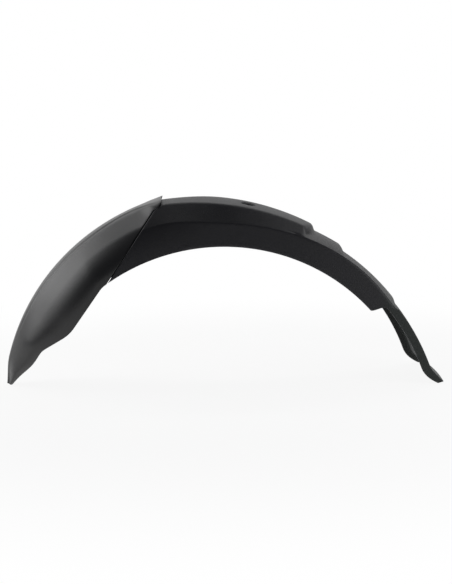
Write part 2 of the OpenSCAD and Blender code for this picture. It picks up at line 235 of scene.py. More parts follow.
def shoulder_at(a):
    return mix(SHOULDER_R - SHOULDER_DROP * ease(a, *SHOULDER_EASE), FLAP_R, is_flap(a)) + kick(a)


def shoulder_w(a):
    return HALF_W - BARREL * (np.minimum(a, BARREL_END) / BARREL_SPAN) ** 2


def crease_r(a):
    """Radius of the crease between the side wall and the leaning face above it."""
    return shoulder_at(a) + CREASE_LIFT * ease(a, *CREASE_EASE)


def edge_at(a):
    """Radius of the lower edge: the arch, the flange of the flap, and the lip."""
    turn = np.maximum(0, (a - KICK_ANGLE + LIP_LEAD) / (LIP_ANGLE - KICK_ANGLE + LIP_LEAD))
    up = mix(ARCH_R, FLANGE_R, ease(a, *NOTCH_EASE))
    return up + (FLAP_R + KICK_OUT - LIP_H - FLANGE_R) * turn**LIP_POWER


def top_edge(a):
    return arc_at(a, RAISED_C, RAISED_R)


def top_crown_at(a):
    return TOP_CROWN - CROWN_LOSS * ease(a, *CROWN_EASE)


def bare_crown(a):
    """Radius of the crown where the raised section is not: platform, shoulder run and flap."""
    step = ease(a, *PLATFORM_EASE)
    return mix(CROWN_R + PLATFORM_H * step, shoulder_at(a) + FLAP_CROWN, is_flap(a))


def raised(a, y):
    """1 on the raised section and 0 behind it: its end curves forwards near the top edges."""
    end = RAISED_END - RAISED_CURVE * np.minimum(1, y / TOP_W) ** 3
    return ease(a, end + RAISED_EASE[0], end + RAISED_EASE[1])


def crown_at(a):
    return mix(bare_crown(a), top_edge(a) + top_crown_at(a), raised(a, 0.0))


def spread(corners, counts):
    """Evenly spaced samples along each stretch between the corners of many contours at once."""
    parts = []
    for k, count in enumerate(counts):
        u = np.arange(count) / count
        parts.append(mix(corners[k][:, None], corners[k + 1][:, None], u[None, :, None]))
    return np.concatenate(parts + [corners[-1][:, None]], axis=1)


def smooth(contour, passes):
    """Rounds the corners of each contour, whose last point stays on the centre line."""
    out = contour.copy()
    for _ in range(passes):
        mirrored = out[:, -2:-1] * np.array([-1.0, 1.0])
        padded = np.concatenate([out, mirrored], axis=1)
        out[:, 1:] = (padded[:, :-2] + 2 * padded[:, 1:-1] + padded[:, 2:]) / 4
    out[:, -1, 0] = 0
    return out


def body_contour(a, t):
    """Half contours of the rear mudguard, t inside its outer face, at the angles a."""
    edge, sh_r, wb = edge_at(a), shoulder_at(a), shoulder_w(a)
    wa = wb + DRAFT * (sh_r - edge) / (SHOULDER_R - ARCH_R)
    tw = TOP_W - TOP_TAPER * ease(a, *TAPER_EASE)
    top_r, top_c = top_edge(a), top_edge(a) + top_crown_at(a)
    rb = crease_r(a)
    start = pair(wa - t, edge)

    # The raised section: wall, leaning face and crowned top
    lean = np.arctan2(wb - tw, top_r - rb)
    b = pair(wb - t, rb - t * np.tan(lean / 2))
    c = pair(tw - t * np.cos(lean) / (1 + np.sin(lean)), top_r - t)
    up, down = towards(b, c), towards(b, start, SHORT_WALL)
    inward = pair(c[:, 0] - BY_CORNER, c[:, 1])
    middle = pair(0 * a, top_c - t)
    hat = spread([start, b + BY_CORNER * down, b, b + BY_SHOULDER * up, c - BY_CORNER * up, c,
                  inward, middle], WALL_SAMPLES)
    on_top = np.arange(hat.shape[1]) >= TO_TOP
    u = hat[:, :, 0] / c[:, 0:1]
    roof = (top_c - t)[:, None] - (top_c - top_r)[:, None] * u**2
    hat[:, :, 1] = np.where(on_top, roof, hat[:, :, 1])

    # The bare section behind it: wall and crown
    w, r = wb - t, sh_r - t
    d = bare_crown(a) - t
    shoulder = pair(w, r)
    below = shoulder + BY_CORNER * towards(shoulder, start, SHORT_WALL)
    shares = [pair(w * k, r) for k in BARE_SHARES]
    above = pair(w - BY_SHOULDER, r)
    bare = spread([start, below, shoulder, above, *shares, middle], WALL_SAMPLES)
    crowned = np.arange(hat.shape[1]) >= TO_CROWN
    dome = d[:, None] - (d - r)[:, None] * (bare[:, :, 0] / w[:, None]) ** 2
    bare[:, :, 1] = np.where(crowned, dome, bare[:, :, 1])

    # Ahead of the joint the side of the raised section turns into one full curve
    hat_w = hat[:, :, 0]
    foot = (edge + FOOT_H)[:, None]
    v = np.clip((hat[:, :, 1] - foot) / np.maximum(1, c[:, 1:] - foot), 0, 1)
    curve = mix(c[:, 0:1], (wa - t)[:, None], full_curve(v))
    softer = mix(hat_w, curve, turned_round(a[:, None], hat[:, :, 1]))
    leans = ~on_top & (hat[:, :, 1] > foot)
    share = raised(a[:, None], hat_w)
    hat[:, :, 0] = np.where(leans, softer, hat_w)
    contour = smooth(mix(bare, hat, share[:, :, None]), BODY_PASSES)
    if np.max(t) == 0:
        shows = ease(a, *BEAD_EASE) * (1 - is_flap(a))
        inset = (w[:, None] - bare[:, :, 0]) * crowned
        bead = BEAD_H * np.exp(-(((inset - BEAD_IN) / BEAD_W) ** 2))
        groove = GROOVE_D * np.exp(-(((inset - GROOVE_IN) / GROOVE_W) ** 2))
        contour[:, :, 1] += shows[:, None] * crowned * (bead - groove)
    return contour


# ---- curves of the front cover
SKIRT_TOP = polar(-37.5, ARCH_R - 0.4)
SKIRT_CORNER = polar(-54.3, ARCH_R - 11.5)
CHIN_CORNER = polar(-63.1, ARCH_R + 5.7)
CHIN_END = polar(-75, ARCH_R + 24.2)


def cover_crown(a):
    """Radius of the middle of the cover, from the flare at the joint to the dip at the beak."""
    flare = COVER_FLARE * ease(a, JOINT_TOP - FLARE_SPAN, JOINT_TOP)
    return arc_at(a, COVER_C, COVER_R) - BEAK_DIP * ease(a, DIP_FROM, BEAK_ANGLE) + flare


def cover_edge(a):
    """Radius of the lower edge of the cover: arch, skirt, sweep up to the chin, and chin."""
    skirt, sweep = line_at(a, SKIRT_TOP, SKIRT_CORNER), line_at(a, SKIRT_CORNER, CHIN_CORNER)
    hollow = np.sin(np.pi * np.clip((-a - CHIN_BOW_FROM) / CHIN_BOW_SPAN, 0, 1))
    chin = line_at(a, CHIN_CORNER, CHIN_END) - CHIN_BOW * hollow**2
    front = np.where(a > -58, soft_max(skirt, sweep, 4), soft_min(sweep, chin, 1.5))
    return np.where(a > -40, soft_min(ARCH_R + 0 * a, skirt, 1.5), front)


def nose(a):
    """0 at the joint, growing towards 1 at the beak."""
    return np.maximum(0, (JOINT_LOW - a) / (JOINT_LOW - BEAK_ANGLE + NOSE_PAST))


def cover_w(a):
    return (shoulder_w(JOINT_LOW) + DRAFT) * (1 - nose(a) ** NOSE_POWER)


def cover_ridge(a):
    """Half width between the creases on top of the cover."""
    wide = mix(RIDGE_W, LAND_W, ease(a, *RIDGE_EASE))
    return wide * (1 - 0.92 * np.maximum(0, (-a - 30) / 48) ** 1.6)


def is_land(a):
    return ease(a, *LAND_EASE)


def cover_drop(a):
    """How far the creases lie below the middle of the cover."""
    return 1.2 + 1.8 * ease(a, -20, -34) + 4.6 * is_land(a)


def chin_h(a):
    return 6.5 * ease(a, -62, -68) - 2 * ease(a, -70, -76)


JOINT_R = cover_crown(JOINT_TOP)
JOINT_FROM = polar(JOINT_LOW, ARCH_R)
JOINT_HIGH = polar(JOINT_TOP, JOINT_R)
JOINT_ALONG = (JOINT_HIGH - JOINT_FROM) / np.linalg.norm(JOINT_HIGH - JOINT_FROM)


def ahead(p):
    """How far points of the side view lie ahead of the joint."""
    d = p - JOINT_FROM
    return -d[..., 0] * JOINT_ALONG[1] + d[..., 1] * JOINT_ALONG[0]


def bow(a, y, r):
    """How many degrees the joint sweeps back at the corners of the flat top."""
    high = ease(r, JOINT_R - 12, JOINT_R - 5) * ease(np.abs(ahead(polar(a, r))), 40, 0)
    return np.degrees(JOINT_BOW / JOINT_R) * np.minimum(1, y / LAND_W) ** 2 * high


def turned_round(a, r):
    """How far the sides have turned from a wall and a leaning face into one full curve."""
    return ease(ahead(polar(a, r)), *FADE)


def full_curve(v):
    """Side of the full curve: 1 is full width at the foot, 0 is the crease at the top."""
    return 1 - v**CURVE_POWER


def cover_contour(a, t, firm=True):
    """Half contours of the front cover, t inside its outer face, at the angles a."""
    edge = cover_edge(a)
    deep = ease(a, BEAK_ANGLE + 2, BEAK_ANGLE + 7) if np.max(t) > 1.5 and firm else 1 + 0 * a
    full = cover_w(a)
    we = np.maximum(full - t, full * 0.5)
    tuck = np.minimum(chin_h(a) * 0.55, we * 0.4)
    wf = np.maximum(cover_ridge(a) - t * 0.5, cover_ridge(a) * 0.5)
    top = cover_crown(a) - t
    high = top - cover_drop(a)
    low = edge + np.minimum(FOOT_H, (high - edge) * 0.4)
    v = np.linspace(0, 1, SIDE_SAMPLES + 1)[None]
    r = mix(low[:, None], high[:, None], v)
    side = mix(np.minimum(1, (1 - v) / (1 - CREASE_V)), full_curve(v), turned_round(a[:, None], r))
    sides = pair(mix(wf[:, None], we[:, None], side), r)
    u = np.linspace(1, 0, TOP_SAMPLES + 1)[None, 1:]
    fall = mix(u**2, 0.3 * u**2 + 0.7 * u**12, is_land(a)[:, None])
    tops = pair(wf[:, None] * u, mix(top[:, None], high[:, None], fall))
    foot = pair(we - tuck, edge)
    n = SAMPLES - SIDE_SAMPLES - TOP_SAMPLES
    chin = mix(foot[:, None], sides[:, :1], (np.arange(n) / n)[None, :, None])
    contour = np.concatenate([chin, sides, tops], axis=1)
    crisp, soft = smooth(contour, CRISP_PASSES), smooth(contour, SOFT_PASSES)
    if np.max(t) < 1:
        along = np.arange(contour.shape[1])[None] - (n + SIDE_SAMPLES)
        line = ease(a, -75, -70) * ease(a, JOINT_TOP - 1, JOINT_TOP - 3)
        line = CREASE_LINE_D * line[:, None] * np.exp(-((along / CREASE_LINE_W) ** 2))
        crisp = crisp - line[..., None]
    contour = mix(crisp, soft, ease(a, -48, -68)[:, None, None])

    # The hollow of the beak starts from a flat floor by its lower edge
    i = np.linspace(0, 1, contour.shape[1])[None]
    floor = edge[:, None] + 0.6 * np.sin(np.pi / 2 * i)
    flat = pair((we - tuck)[:, None] * (1 - i), floor)
    return mix(flat, contour, deep[:, None, None])


def tongue_contour(a, t):
    """Half contours of the tongue that runs on under the cover, with a flat roof."""
    contour = cover_contour(a, TONGUE_IN + t, firm=False)
    roof = (cover_crown(a) - TONGUE_DROP - t)[:, None]
    contour[:, :, 1] = soft_min(contour[:, :, 1], roof + 0 * contour[:, :, 1], 2.0)
    least = TONGUE_EDGE + 0.04 * np.arange(contour.shape[1])
    contour[:, :, 1] = np.maximum(contour[:, :, 1], least)
    return contour


# ---- lofting
def station(low, high):
    """The plane of one ring, held by its lower and its upper end in the side view."""
    low, high = np.asarray(low, float), np.asarray(high, float)
    return low, (high - low) / np.linalg.norm(high - low)


def degrees_for(length, r):
    return np.degrees(length / r)


def joint_station(shift):
    """The plane that lies along the joint, a distance behind it."""
    low = JOINT_LOW + degrees_for(shift, ARCH_R)
    high = JOINT_TOP + degrees_for(shift, JOINT_R)
    return station(polar(low, ARCH_R), polar(high, cover_crown(high)))


def fan(a):
    """Degrees by which the upper end of a station lies behind its lower end."""
    return (JOINT_TOP - JOINT_LOW) * (1 - ease(a, JOINT_LOW, 14))


def body_station(a):
    top = a + fan(a)
    return station(polar(a, edge_at(a)), polar(top, crown_at(top)))


class Sheet:
    """A face of a moulding as a dense grid of half contours, to be cut by station planes."""

    def __init__(self, contour, t, start, stop):
        self.a = np.arange(start, stop + DENSE_STEP / 2, DENSE_STEP)
        self.grid = contour(self.a, t)
        self.xz = polar(self.a[:, None], self.grid[:, :, 1])

    def at(self, j, a):
        """Radius and half width of one column of the grid at the angle a."""
        return [np.interp(a, self.a, self.grid[:, j, i]) for i in (1, 0)]

    def cut(self, plane):
        """Half contour where the plane crosses this face, as points x, y, z."""
        p, d = plane
        off = (self.xz[..., 0] - p[0]) * d[1] - (self.xz[..., 1] - p[1]) * d[0]
        out = np.empty((self.grid.shape[1], 3))
        for j in range(self.grid.shape[1]):
            a = np.interp(0.0, off[:, j], self.a)
            r, y = self.at(j, a)
            a += bow(a, y, r)
            r, y = self.at(j, a)
            out[j] = (r * math.sin(math.radians(a)), y, r * math.cos(math.radians(a)))
        return out


def ring(outer, inner, inset):
    """A closed ring from an outer and an inner half contour, with rounded lower edges."""
    out, inn = mix(outer, inner, inset), mix(inner, outer, inset)
    up = out[1] - out[0]
    up /= np.linalg.norm(up)
    span = np.linalg.norm(inn[0] - out[0])
    e = min(EDGE_ROUND, span * 0.4)
    across = (inn[0] - out[0]) / max(span, 1e-9)
    rim = np.array([
        out[0] + up * e, out[0] + up * 0.3 * e + across * 0.3 * e, out[0] + across * e,
        inn[0] - across * e, inn[0] + up * 0.3 * e - across * 0.3 * e, inn[0] + up * e])
    flip = np.array([1.0, -1.0, 1.0])
    half = np.concatenate([rim[2::-1] * flip, out[1:-1] * flip, out[:0:-1], rim[:3]])
    back = np.concatenate([rim[3:], inn[1:-1], inn[:0:-1] * flip, rim[:2:-1] * flip])
    return half, back


def end_insets(wall):
    """Shares of the wall, and distances from the end, that round off a free end."""
    turns = [math.pi / 2 * i / ROUND_STEPS for i in range(ROUND_STEPS + 1)]
    return [((1 - math.sin(g)) * EDGE_ROUND / wall, EDGE_ROUND * (1 - math.cos(g))) for g in turns]


def new_object(name, data):
    """An object for a mesh, light or camera, linked to the scene."""
    obj = bpy.data.objects.new(name, data)
    bpy.context.scene.collection.objects.link(obj)
    return obj


def new_mesh(name, bm):
    """The mesh of a finished bmesh, which is freed."""
    mesh = bpy.data.meshes.new(name)
    bm.to_mesh(mesh)
    bm.free()
    return mesh


class Loft:
    """Collects rings along a moulding and closes them into one mesh."""

    def __init__(self):
        self.outer, self.inner = [], []

    def add(self, plane, outer, inner, inset=0.0):
        """Adds the ring where a plane cuts an outer and an inner face."""
        self.close(outer.cut(plane), inner.cut(plane), inset)

    def close(self, outer, inner, inset=0.0):
        half, back = ring(outer, inner, inset)
        self.outer.append(half)
        self.inner.append(back)

    def mesh(self, name, place):
        rows = [np.concatenate([o, i]) for o, i in zip(self.outer, self.inner)]
        n, m = len(rows[0]), len(rows)
        count = len(self.outer[0])
        points = place(np.concatenate(rows)) * MM
        faces = []
        for r in range(0, (m - 1) * n, n):
            for j in range(n):
                k = (j + 1) % n
                faces.append((r + j, r + n + j, r + n + k, r + k))
        for base in (0, (m - 1) * n):
            for j in range(count - 1):
                faces.append((base + j, base + j + 1, base + n - 2 - j, base + n - 1 - j))
        mesh = bpy.data.meshes.new(name)
        mesh.from_pydata(points.tolist(), [], faces)
        inner = mesh.attributes.new("inner_face", "FLOAT", "POINT")
        flags = np.tile(np.r_[np.zeros(count), np.ones(n - count)], m)
        inner.data.foreach_set("value", flags.astype(np.float32))
        obj = new_object(name, mesh)
        clean_up(obj)
        return obj


def clean_up(obj):
    """Merges doubles and turns every face outwards."""
    bm = bmesh.new()
    bm.from_mesh(obj.data)
    bmesh.ops.remove_doubles(bm, verts=bm.verts, dist=0.00002)
    bmesh.ops.recalc_face_normals(bm, faces=bm.faces)
    bm.to_mesh(obj.data)
    bm.free()


# ---- where the part stands
BEAK_LOW = polar(BEAK_ANGLE, cover_edge(BEAK_ANGLE))
LIP_LOW = polar(LIP_ANGLE, edge_at(LIP_ANGLE))
PITCH = math.atan2(LIP_LOW[1] - BEAK_LOW[1], LIP_LOW[0] - BEAK_LOW[0])
COS, SIN = math.cos(PITCH), math.sin(PITCH)
TURN = np.array([[COS, 0, SIN], [0, 1, 0], [-SIN, 0, COS]])


def find_shift():
    """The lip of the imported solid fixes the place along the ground, and the ground its height."""
    angles = np.linspace(LIP_ANGLE - 2, LIP_ANGLE, 9)
    lip = polar(angles[:, None], body_contour(angles, 0.0)[:, :, 1])
    turned = lip[..., 0] * COS + lip[..., 1] * SIN
    low = LIP_LOW[1] * COS - LIP_LOW[0] * SIN
    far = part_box("rear_mudguard")[1].x / MM
    return np.array([far - turned.max(), 0.0, -low])


SHIFT = find_shift()


def stand(points):
    """From the frame about the axle to the frame of the part."""
    return np.asarray(points) @ TURN.T + SHIFT


def placed(matrix_columns, origin):
    """A 4 by 4 matrix in metres from three axes and an origin about the axle."""
    axes = [TURN @ np.asarray(c, float) for c in matrix_columns]
    axes.append(stand(np.asarray(origin, float)) * MM)
    return Matrix([[axis[i] for axis in axes] for i in range(3)] + [[0, 0, 0, 1]])


def upper_place(side):
    """Where a screw through the roof of the tongue sits, its axis square to the cover."""
    high = JOINT_TOP - 8.2
    c = polar(high, cover_crown(high)) - np.array(COVER_C)
    g = math.atan2(c[0], c[1])
    out, fore = (math.sin(g), 0, math.cos(g)), (math.cos(g), 0, -math.sin(g))
    reach = COVER_R - TONGUE_DROP
    origin = (COVER_C[0] + reach * out[0], side * UPPER_Y, COVER_C[1] + reach * out[2])
    return placed((fore, (0, 1, 0), out), origin)


def lower_place(side):
    """Where a screw through the side of the tongue sits, square to that side."""
    a, r = JOINT_LOW + 3.0, ARCH_R + 14
    half = cover_contour(np.array([a]), TONGUE_IN, firm=False)[0]
    low, y, high = np.interp([r - 4, r, r + 4], half[:, 1], half[:, 0])
    lean = math.atan2(low - high, 8)
    (x, z), (ux, uz) = polar(a, r), polar(a, 1.0)
    up = np.array([ux, 0, uz])
    out = np.array([0, side * math.cos(lean), 0]) + math.sin(lean) * up
    across = np.array([0, math.sin(lean), 0]) - side * math.cos(lean) * up
    return placed(((uz, 0, -ux), across, out), (x, side * y, z))


BOLT_ANGLE = math.degrees(math.asin(BOLT_X / (SHOULDER_R + TOP_RISE)))


def top_point(angle, y):
    x, z = polar(angle, crown_at(angle))
    return np.array([x, y, z - TOP_CROWN * (y / TOP_W) ** 2])


BOLT_FALL = top_point(BOLT_ANGLE - 1, 0) - top_point(BOLT_ANGLE + 1, 0)
BOLT_SLOPE = math.atan2(BOLT_FALL[2], -BOLT_FALL[0]) + PITCH


def bolt_top(side):
    return Matrix.Translation(Vector(stand(top_point(BOLT_ANGLE, side * BOLT_SPACING / 2)) * MM))


# ---- small solids and cutting
def lathe(name, profile, steps=48, matrix=Matrix(), bored=False):
    """A solid turned about Z from (radius, height) in millimetres; a bored one has no caps."""
    bm = bmesh.new()
    turn = [2 * math.pi * i / steps for i in range(steps)]
    rows = []
    for r, z in profile:
        around = [(r * math.cos(g) * MM, r * math.sin(g) * MM, z * MM) for g in turn]
        rows.append([bm.verts.new(p) for p in (around if r > 0 else around[:1])])
    for low, high in zip(rows, rows[1:] + rows[:1] if bored else rows[1:]):
        n, m = len(low), len(high)
        for i in range(steps):
            k = (i + 1) % steps
            corners = (low[i % n], low[k % n], high[k % m], high[i % m])
            bm.faces.new(list(dict.fromkeys(corners)))
    for row in () if bored else (rows[0], rows[-1]):
        if len(row) > 1:
            bm.faces.new(row)
    bmesh.ops.recalc_face_normals(bm, faces=bm.faces)
    mesh = new_mesh(name, bm)
    mesh.transform(matrix)
    return new_object(name, mesh)


def rod(r, low, high):
    """Profile of a plain cylinder."""
    return [(0, low), (r, low), (r, high), (0, high)]


def combine(obj, others, operation):
    """Joins the others to obj or cuts them out of it, and removes them."""
    for other in others:
        mod = obj.modifiers.new("combine", "BOOLEAN")
        mod.operation = operation
        mod.object = other
        mod.solver = "MANIFOLD"
        graph = bpy.context.evaluated_depsgraph_get()
        result = bpy.data.meshes.new_from_object(obj.evaluated_get(graph))
        obj.modifiers.clear()
        if len(result.vertices) in (0, len(obj.data.vertices)):
            raise RuntimeError(f"{operation} of {obj.name} with {other.name} did nothing")
        obj.data = result
        bpy.data.objects.remove(other)


def finish_piece(obj, material, nodes, sharp=35):
    """Gives a piece its shading and material, hides the solid-model nodes it stands for and hangs
    it under the root.
    """
    obj.data.materials.clear()
    obj.data.materials.append(material)
    obj.data.shade_smooth()
    obj.data.set_sharp_from_angle(angle=math.radians(sharp))
    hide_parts(*nodes)
    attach(obj, "root")


# ---- materials
def feed(tree, slot, value):
    """Links a node's value into a socket, or sets a plain value on it."""
    if isinstance(value, Value):
        tree.links.new(value.socket, slot)
    else:
        slot.default_value = value


class Value:
    """A node socket that takes part in Python arithmetic."""

    def __init__(self, tree, socket):
        self.tree, self.socket = tree, socket

    def _math(self, operation, other=None, swap=False, clamp=False):
        node = self.tree.nodes.new("ShaderNodeMath")
        node.operation = operation
        node.use_clamp = clamp
        sides = [self] if other is None else ([other, self] if swap else [self, other])
        for slot, side in zip(node.inputs, sides):
            feed(self.tree, slot, side)
        return Value(self.tree, node.outputs[0])

    def __add__(self, other):
        return self._math("ADD", other)

    def __radd__(self, other):
        return self._math("ADD", other, swap=True)

    def __sub__(self, other):
        return self._math("SUBTRACT", other)

    def __rsub__(self, other):
        return self._math("SUBTRACT", other, swap=True)

    def __mul__(self, other):
        return self._math("MULTIPLY", other)

    def clamped(self):
        return self._math("ADD", 0.0, clamp=True)


class Finish:
    """A material or world under construction: one method adds any node."""

    def __init__(self, name, library=None):
        self.data = (bpy.data.materials if library is None else library).new(name)
        self.data.use_nodes = True
        self.tree = self.data.node_tree
        self.tree.nodes.clear()

    def node(self, kind, settings=None, sockets=None, output=0):
        node = self.tree.nodes.new("ShaderNode" + kind)
        for key, value in (settings or {}).items():
            setattr(node, key, value)
        for key, value in (sockets or {}).items():
            feed(self.tree, node.inputs[key], value)
        return Value(self.tree, node.outputs[output])

    def place(self):
        return self.node("TexCoord", output="Object")

    def axis(self, name):
        return self.node("SeparateXYZ", sockets={0: self.place()}, output=name)

    def noise(self, scale, detail=2.0, roughness=0.5):
        sockets = {"Vector": self.place(), "Scale": scale, "Detail": detail,
                   "Roughness": roughness}
        return self.node("TexNoise", sockets=sockets)

    def blend(self, a, b, factor):
        """Mixes two colours."""
        sockets = {0: factor, 6: a, 7: b}
        return self.node("Mix", {"data_type": "RGBA"}, sockets, output=2)

    def ramp(self, value, low, high):
        """0 below low and 1 above high, smoothly between."""
        settings = {"interpolation_type": "SMOOTHSTEP"}
        return self.node("MapRange", settings, {"Value": value, "From Min": low, "From Max": high})

    def bump(self, height, strength, distance, normal=None):
        sockets = {"Height": height, "Strength": strength, "Distance": distance}
        if normal:
            sockets["Normal"] = normal
        return self.node("Bump", sockets=sockets)

    def shown(self, shader, output="ShaderNodeOutputMaterial"):
        """The material or world, with this shader as its surface."""
        feed(self.tree, self.tree.nodes.new(output).inputs["Surface"], shader)
        return self.data

    def surface(self, sockets):
        return self.shown(self.node("BsdfPrincipled", sockets=sockets))


def rgba(color, factor=1.0):
    return (*(c * factor for c in color), 1.0)


def grained_black(looks):
    """Grained polypropylene: greener and duller on the flap, with a painted highlight that makes
    sharp edges and rims paler.
    """
    f = Finish("grained_black")
    base = rgba(looks.body_color)
    flap = f.ramp(f.axis("X"), 0.178, 0.2)
    cloud = f.noise(26.0, 3.0)
    fine = f.noise(1500.0, 2.0, 0.6)
    sockets = {"Vector": f.place(), "Scale": 1050.0}
    pores = f.node("TexVoronoi", {"feature": "F1"}, sockets, output="Distance")
    color = f.blend(base, rgba(looks.flap_color), flap)
    color = f.blend(color, rgba(looks.body_color, 1.7), (cloud - 0.42) * 0.8 + (fine - 0.5) * 0.8)
    # Painted highlight: sharp edges and rims, such as the shoulder bead, are made paler as if they
    # caught the light
    edge = f.node("NewGeometry", output="Pointiness")
    color = f.blend(color, rgba(looks.body_color, 5.0), f.ramp(edge, 0.51, 0.58) * 0.8)
    grain = f.bump(fine * 0.6 + pores * 0.7, looks.grain_strength, 0.00022)
    waves = f.bump(f.noise(60.0, 1.0), 0.06, 0.0008, grain)
    rough = looks.body_roughness + (cloud - 0.5) * 0.1 + (fine - 0.5) * 0.18
    return f.surface({"Base Color": color, "Roughness": rough, "Normal": waves,
                      "Specular IOR Level": 0.42})


def painted_black(looks):
    """Black paint outside with a faint orange peel, and bare moulded plastic inside."""
    f = Finish("painted_black")
    inside = f.node("Attribute", {"attribute_name": "inner_face"}, output="Fac")
    bare = f.ramp(inside, 0.35, 0.65)
    fine = f.noise(1400.0, 2.0, 0.6)
    flow = f.noise(140.0, 2.0)
    dust = f.ramp(f.noise(420.0, 4.0, 0.7), 0.66, 0.8)
    color = f.blend(rgba(looks.paint_color), rgba(looks.body_color), bare)
    color = f.blend(color, rgba(looks.body_color, 2.2), dust * 0.06)
    rough = looks.paint_roughness + (flow - 0.5) * 0.03 + dust * 0.06 + bare * 0.3
    peel = f.bump(flow, 0.035, 0.0006)
    grain = f.bump(fine * bare, looks.grain_strength, 0.0002, peel)
    return f.surface({"Base Color": color, "Roughness": rough, "Normal": grain,
                      "Coat Weight": 0.25, "Coat Roughness": 0.42})


def plated_steel(looks):
    """Zinc plate with faint cloudiness and fine marks."""
    f = Finish("plated_steel")
    cloud = f.noise(320.0, 3.0)
    marks = f.noise(2600.0, 2.0, 0.7)
    color = f.blend(rgba(looks.zinc_color), rgba(looks.zinc_color, 0.7), f.ramp(cloud, 0.45, 0.7))
    rough = 0.26 + (marks - 0.5) * 0.22 + (cloud - 0.5) * 0.12
    return f.surface({"Base Color": color, "Roughness": rough, "Metallic": 1.0,
                      "Normal": f.bump(marks, 0.12, 0.0001)})


def pale_floor(looks):
    """Paper that shows white to the camera, and keeps a share of its shadows near the part."""
    f = Finish("paper")
    far = f.node("VectorMath", {"operation": "LENGTH"}, {0: f.place()}, output="Value")
    keep = (1.0 - f.ramp(far, 0.3, 0.75)) * SHADOW_KEPT
    seen = f.node("LightPath", output="Is Camera Ray")
    glossy = f.node("LightPath", output="Is Glossy Ray")
    paper = f.node("BsdfDiffuse", sockets={"Color": rgba((looks.floor_white,) * 3)})
    white = f.node("Emission", sockets={"Color": (1, 1, 1, 1), "Strength": 1.0})
    both = (seen * (1.0 - keep) + glossy * looks.backdrop_gloss).clamped()
    return f.shown(f.node("MixShader", sockets={0: both, 1: paper, 2: white}))


# ---- settings and operators
class MudguardLooks(bpy.types.PropertyGroup):
    body_color: FloatVectorProperty(
        name="Moulding colour", description="Base colour of the grained moulding",
        subtype="COLOR", size=3, default=(0.010, 0.010, 0.0125), min=0, max=1)
    flap_color: FloatVectorProperty(
        name="Flap colour", description="Base colour towards the end of the rear flap",
        subtype="COLOR", size=3, default=(0.014, 0.018, 0.016), min=0, max=1)
    paint_color: FloatVectorProperty(
        name="Paint colour", description="Colour of the paint on the front cover",
        subtype="COLOR", size=3, default=(0.004, 0.004, 0.0045), min=0, max=1)
    zinc_color: FloatVectorProperty(
        name="Plating colour", description="Colour of the plated screws and washers",
        subtype="COLOR", size=3, default=(0.62, 0.61, 0.57), min=0, max=1)
    body_roughness: FloatProperty(
        name="Moulding roughness", description="Roughness of the grained moulding",
        default=0.52, min=0.1, max=1.0)
    paint_roughness: FloatProperty(
        name="Paint roughness", description="Roughness of the painted cover",
        default=0.42, min=0.02, max=0.8)
    grain_strength: FloatProperty(
        name="Grain strength", description="Strength of the moulded grain",
        default=0.85, min=0.0, max=1.0)


class StudioLooks(bpy.types.PropertyGroup):
    floor_white: FloatProperty(
        name="Paper white", description="Brightness of the floor and backdrop paper",
        default=0.82, min=0.2, max=0.95)
    backdrop_gloss: FloatProperty(
        name="Backdrop in reflections", description="How white the paper is in reflections",
        default=0.9, min=0.0, max=1.0)
    top_power: FloatProperty(
        name="Paper light", description="Power of the softbox that lights the backdrop",
        default=18.0, min=0, unit="POWER")
    front_power: FloatProperty(
        name="Beak light", description="Power of the softbox above and ahead of the beak",
        default=2.9, min=0, unit="POWER")
    side_power: FloatProperty(
        name="Beak side light", description="Power of the low softbox beside the beak",
        default=0.28, min=0, unit="POWER")
    rear_power: FloatProperty(
        name="Rear light", description="Power of the softbox behind the flap",
        default=0.75, min=0, unit="POWER")
    world_level: FloatProperty(
        name="Room level", description="Brightness of the room around", default=0.12, min=0, max=2)


def ring_angles():
    """Angles of the rings behind the joint, closer together where the form changes fast."""
    stretches = (
        (JOINT_LOW + degrees_for(WALL, ARCH_R) + 0.6, RAISED_END - 6, 1.3),
        (RAISED_END - 6, RAISED_END + 1.4, 0.3),
        (RAISED_END + 1.6, PLATFORM_END - 1.6, 1.0),
        (PLATFORM_END - 1.6, PLATFORM_END + 1.4, 0.3),
        (PLATFORM_END + 1.8, NOTCH_ANGLE - 1.3, 1.1),
        (NOTCH_ANGLE - 1.2, NOTCH_ANGLE + 5, 0.28),
        (NOTCH_ANGLE + 5.2, KICK_ANGLE - 0.6, 0.9),
        (KICK_ANGLE - 0.4, LIP_ANGLE - 0.4, 0.25),
    )
    return np.concatenate([np.arange(*stretch) for stretch in stretches])


